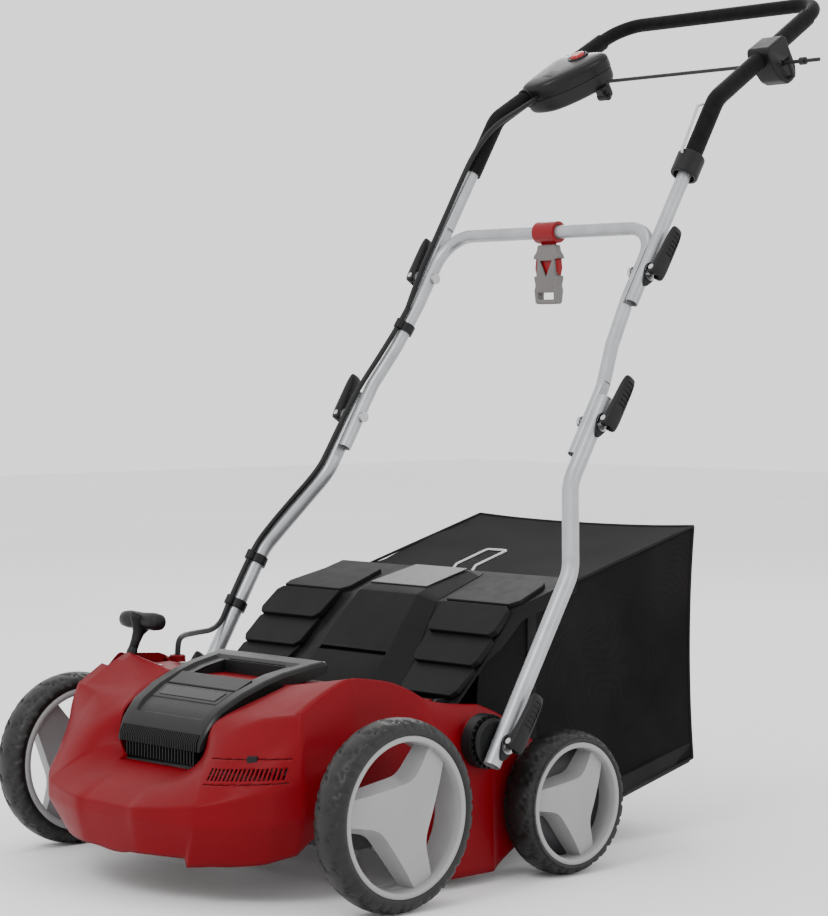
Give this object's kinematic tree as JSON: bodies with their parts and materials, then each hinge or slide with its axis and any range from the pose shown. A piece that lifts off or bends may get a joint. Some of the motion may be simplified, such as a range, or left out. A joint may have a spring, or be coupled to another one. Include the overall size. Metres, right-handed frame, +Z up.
{
  "type": "lawn dethatcher",
  "caption": "Walk-behind electric lawn dethatcher: bladed rotor under a moulded housing, large wheels, rear bag, folding tube handle.",
  "frame": {"origin": "middle of the machine's bounding box, on the ground", "axes": "+Z up, +Y to the rear where the operator walks, +X to the operator's right"},
  "size_m": [0.616, 1.0584, 1.0727],
  "materials": {
    "red_shell": "satin",
    "black_plastic": "grained",
    "dark_plastic": "satin",
    "rim_grey": "satin",
    "tyre": "moulded",
    "tube_paint": "silver lacquer",
    "steel": "zinc plated",
    "frame_steel": "black lacquer",
    "foam": "soft foam",
    "cable": "smooth",
    "belt": "matt",
    "bag_mesh": "woven mesh",
    "buckle_red": "satin",
    "buckle_grey": "satin",
    "button_red": "gloss",
    "pulley": "machined",
    "copper": "laminations"
  },
  "bodies": {
    "base": {"housing": "red_shell", "motor_cover": "dark_plastic", "rear_deck": "red_shell", "toothed_discs": "black_plastic", "deck_screws": "steel", "rear_axle_stubs": "steel", "flap_hinge_rod": "steel", "rotor_bearings": "steel", "inner_frame": "frame_steel", "motor_case": "frame_steel", "drive_belt": "belt"},
    "rotor": {"rotor_shaft": "steel", "rotor_blades": "steel", "rotor_spacers": "steel", "rotor_pulley": "pulley"},
    "armature": {"motor_armature": "copper", "motor_fan": "black_plastic", "motor_pulley": "pulley"},
    "axle_crank": {"front_axle_crank": "frame_steel", "depth_lever": "black_plastic", "depth_lever_grip": "black_plastic"},
    "front_wheel_left": {"front_wheel_left_tyre": "tyre", "front_wheel_left_rim": "rim_grey"},
    "front_wheel_right": {"front_wheel_right_tyre": "tyre", "front_wheel_right_rim": "rim_grey"},
    "rear_wheel_left": {"rear_wheel_left_tyre": "tyre", "rear_wheel_left_rim": "rim_grey"},
    "rear_wheel_right": {"rear_wheel_right_tyre": "tyre", "rear_wheel_right_rim": "rim_grey"},
    "flap": {"chute_flap": "black_plastic"},
    "bag": {"bag_fabric": "bag_mesh", "bag_base": "black_plastic", "bag_frame_wire": "steel"},
    "handle_lower": {"lower_tubes": "tube_paint", "handle_feet": "black_plastic", "cable_clips_lower": "black_plastic", "base_clamp_bolts": "steel", "lower_joint_clamp_bolts": "steel", "cable_lower": "cable"},
    "handle_middle": {"middle_handle": "tube_paint", "upper_joint_clamp_bolts": "steel", "cable_middle": "cable", "cable_clip_middle": "black_plastic"},
    "handle_upper": {"upper_handle": "tube_paint", "handle_grips": "foam", "switch_box_lid": "dark_plastic", "switch_box_base": "dark_plastic", "bail_bracket": "black_plastic", "cord_relief": "black_plastic", "cable_upper": "cable"},
    "bail": {"bail_bar": "frame_steel"},
    "button": {"safety_button": "button_red"},
    "buckle": {"buckle_hook": "buckle_red", "buckle_body": "buckle_grey"},
    "base_lever_left": {"base_lever_left": "black_plastic"},
    "base_lever_right": {"base_lever_right": "black_plastic"},
    "lower_joint_lever_left": {"lower_joint_lever_left": "black_plastic"},
    "lower_joint_lever_right": {"lower_joint_lever_right": "black_plastic"},
    "upper_joint_lever_left": {"upper_joint_lever_left": "black_plastic"},
    "upper_joint_lever_right": {"upper_joint_lever_right": "black_plastic"}
  },
  "joints": [
    {"name": "rotor_spin", "type": "hinge", "parent": "base", "child": "rotor", "pos_m": [0, -0.20724, 0.09], "axis": [1, 0, 0], "continuous": true},
    {"name": "armature_spin", "type": "hinge", "parent": "base", "child": "armature", "pos_m": [0, -0.31924, 0.172], "axis": [1, 0, 0], "continuous": true},
    {"name": "depth_adjust", "type": "hinge", "parent": "base", "child": "axle_crank", "pos_m": [0, -0.38724, 0.128], "axis": [1, 0, 0], "range_deg": [-15, 15]},
    {"name": "front_wheel_left_spin", "type": "hinge", "parent": "axle_crank", "child": "front_wheel_left", "pos_m": [-0.287, -0.35924, 0.105], "axis": [1, 0, 0], "continuous": true},
    {"name": "front_wheel_right_spin", "type": "hinge", "parent": "axle_crank", "child": "front_wheel_right", "pos_m": [0.287, -0.35924, 0.105], "axis": [1, 0, 0], "continuous": true},
    {"name": "rear_wheel_left_spin", "type": "hinge", "parent": "base", "child": "rear_wheel_left", "pos_m": [-0.2635, -0.06884, 0.0834], "axis": [1, 0, 0], "continuous": true},
    {"name": "rear_wheel_right_spin", "type": "hinge", "parent": "base", "child": "rear_wheel_right", "pos_m": [0.2635, -0.06884, 0.0834], "axis": [1, 0, 0], "continuous": true},
    {"name": "flap_lift", "type": "hinge", "parent": "base", "child": "flap", "pos_m": [0, -0.19324, 0.196], "axis": [1, 0, 0], "range_deg": [0, 40]},
    {"name": "bag_pull", "type": "slide", "parent": "base", "child": "bag", "axis": [0, 1, 0], "range_m": [0, 0.25]},
    {"name": "handle_fold", "type": "hinge", "parent": "base", "child": "handle_lower", "pos_m": [0, -0.18224, 0.163], "axis": [-1, 0, 0], "range_deg": [-90, 20], "deforming": ["cable_lower"]},
    {"name": "middle_fold", "type": "hinge", "parent": "handle_lower", "child": "handle_middle", "pos_m": [0, 0.03626, 0.51817], "axis": [1, 0, 0], "range_deg": [0, 120], "deforming": ["cable_middle"]},
    {"name": "upper_fold", "type": "hinge", "parent": "handle_middle", "child": "handle_upper", "pos_m": [0, 0.14787, 0.69959], "axis": [-1, 0, 0], "range_deg": [-110, 90], "deforming": ["cable_upper"]},
    {"name": "bail_pull", "type": "hinge", "parent": "handle_upper", "child": "bail", "pos_m": [0, 0.41336, 0.95526], "axis": [-1, 0, 0], "range_deg": [0, 20], "stiffness_Nm_per_rad": 0.6, "springref_deg": -17.19},
    {"name": "button_press", "type": "slide", "parent": "handle_upper", "child": "button", "axis": [0, 0.5195, -0.8545], "range_m": [0, 0.004], "stiffness_N_per_m": 400, "springref_m": -0.002},
    {"name": "buckle_swing", "type": "hinge", "parent": "handle_middle", "child": "buckle", "pos_m": [0, 0.18245, 0.7558], "axis": [1, 0, 0], "range_deg": [-60, 60]},
    {"name": "base_lever_left_open", "type": "hinge", "parent": "handle_lower", "child": "base_lever_left", "pos_m": [-0.2932, -0.18224, 0.163], "axis": [0, -0.8517, 0.524], "range_deg": [0, 90]},
    {"name": "base_lever_right_open", "type": "hinge", "parent": "handle_lower", "child": "base_lever_right", "pos_m": [0.2932, -0.18224, 0.163], "axis": [0, 0.8517, -0.524], "range_deg": [0, 90]},
    {"name": "lower_joint_lever_left_open", "type": "hinge", "parent": "handle_lower", "child": "lower_joint_lever_left", "pos_m": [-0.2357, 0.03626, 0.51817], "axis": [0, -0.8517, 0.524], "range_deg": [0, 90]},
    {"name": "lower_joint_lever_right_open", "type": "hinge", "parent": "handle_lower", "child": "lower_joint_lever_right", "pos_m": [0.2357, 0.03626, 0.51817], "axis": [0, 0.8517, -0.524], "range_deg": [0, 90]},
    {"name": "upper_joint_lever_left_open", "type": "hinge", "parent": "handle_middle", "child": "upper_joint_lever_left", "pos_m": [-0.2122, 0.14787, 0.69959], "axis": [0, -0.8517, 0.524], "range_deg": [0, 90]},
    {"name": "upper_joint_lever_right_open", "type": "hinge", "parent": "handle_middle", "child": "upper_joint_lever_right", "pos_m": [0.2122, 0.14787, 0.69959], "axis": [0, 0.8517, -0.524], "range_deg": [0, 90]}
  ],
  "couplings": [
    {"joint": "armature_spin", "follows": "rotor_spin", "ratio": 2.5}
  ]
}
